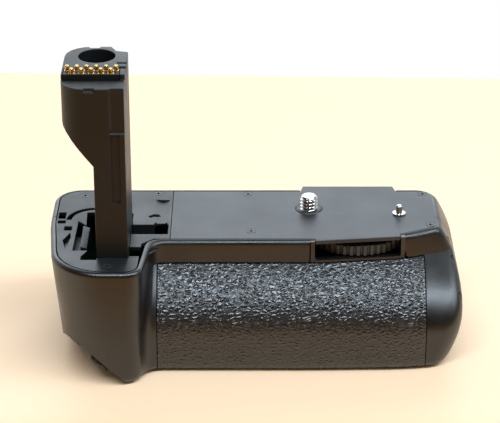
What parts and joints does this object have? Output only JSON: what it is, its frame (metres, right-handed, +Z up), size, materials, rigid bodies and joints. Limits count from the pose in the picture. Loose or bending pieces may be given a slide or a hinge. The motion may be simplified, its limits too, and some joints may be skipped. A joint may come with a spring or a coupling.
{
  "type": "camera_battery_grip",
  "caption": "Battery grip for a camera: moulded body with a textured panel, a tower for the camera's battery bay, a dial-driven tripod screw, a hinged battery door and release controls",
  "frame": {"origin": "centre of the bounding box in X and Y, on the flat underside of the body in Z", "axes": "X to the right seen from the front, Y towards the back, Z up towards the camera"},
  "size_m": [0.1476, 0.0724, 0.1107],
  "materials": {
    "shell_plastic": "satin black moulding with a fine spark-eroded grain",
    "plate_metal": "satin black paint on die-cast metal",
    "deck_plastic": "satin black moulding",
    "grip_rubber": "leather grain",
    "tower_plastic": "fine matt black moulding",
    "contact_gold": "gold plate",
    "bright_steel": "bright plated steel",
    "control_plastic": "black moulding",
    "chamber_plastic": "dark grey moulding",
    "board_green": "solder resist",
    "ribbon_amber": "amber film",
    "screw_black": "blackened steel"
  },
  "bodies": {
    "body": {"front_shell": "shell_plastic", "rear_shell": "shell_plastic", "base_cover": "shell_plastic", "top_plate": "plate_metal", "tower_deck": "deck_plastic", "grip_panel": "grip_rubber", "thumb_pad": "grip_rubber", "tower_front": "tower_plastic", "tower_back": "tower_plastic", "contact_holder": "tower_plastic", "contact_barrels": "contact_gold", "cover_clip": "deck_plastic", "dial_axle": "bright_steel", "locating_pin": "bright_steel", "battery_chamber": "chamber_plastic", "battery_terminals": "contact_gold", "door_hinge_pin": "bright_steel", "circuit_board": "board_green", "ribbon_cable": "ribbon_amber", "control_panel": "shell_plastic", "shutter_switch": "chamber_plastic", "command_axle": "bright_steel", "button_board": "board_green", "tripod_socket": "bright_steel", "plate_screws": "screw_black", "deck_screws": "screw_black", "base_screws": "screw_black", "tower_screws": "screw_black"},
    "dial": {"attachment_dial": "control_plastic"},
    "screw": {"tripod_screw": "bright_steel"},
    "contacts": {"contact_pins": "contact_gold"},
    "door": {"battery_door": "shell_plastic"},
    "latch": {"door_latch": "control_plastic"},
    "release": {"shutter_button": "control_plastic"},
    "wheel": {"command_dial": "control_plastic"},
    "exposure": {"exposure_button": "control_plastic"},
    "focus": {"focus_button": "control_plastic"},
    "power": {"power_switch": "control_plastic"}
  },
  "joints": [
    {"name": "attachment_dial_turn", "type": "hinge", "parent": "body", "child": "dial", "pos_m": [0.0366, 0.011, 0.038], "axis": [0, 0, 1], "continuous": true},
    {"name": "tripod_screw_turn", "type": "hinge", "parent": "body", "child": "screw", "pos_m": [0.01958, 0.01686, 0.042], "axis": [0, 0, 1], "continuous": true},
    {"name": "contact_press", "type": "slide", "parent": "body", "child": "contacts", "axis": [0, 0, -1], "range_m": [0, 0.001], "stiffness_N_per_m": 400},
    {"name": "battery_door_swing", "type": "hinge", "parent": "body", "child": "door", "pos_m": [0.0699, 0.0306, 0.021], "axis": [0, 0, 1], "range_deg": [0, 100]},
    {"name": "door_latch_slide", "type": "slide", "parent": "door", "child": "latch", "axis": [0, 1, 0], "range_m": [0, 0.003], "stiffness_N_per_m": 150},
    {"name": "shutter_press", "type": "slide", "parent": "body", "child": "release", "axis": [0.6299, 0.428, 0.6481], "range_m": [0, 0.001], "stiffness_N_per_m": 400},
    {"name": "command_dial_turn", "type": "hinge", "parent": "body", "child": "wheel", "pos_m": [-0.05633, -0.01, 0.01035], "axis": [0, 1, 0], "continuous": true},
    {"name": "exposure_press", "type": "slide", "parent": "body", "child": "exposure", "axis": [0, -1, 0], "range_m": [0, 0.0008], "stiffness_N_per_m": 400},
    {"name": "focus_press", "type": "slide", "parent": "body", "child": "focus", "axis": [0, -1, 0], "range_m": [0, 0.0008], "stiffness_N_per_m": 400},
    {"name": "power_switch_turn", "type": "hinge", "parent": "body", "child": "power", "pos_m": [-0.0498, 0.034, 0.0352], "axis": [0, -1, 0], "range_deg": [0, 40]}
  ],
  "couplings": [
    {"joint": "tripod_screw_turn", "follows": "attachment_dial_turn", "ratio": -2}
  ]
}
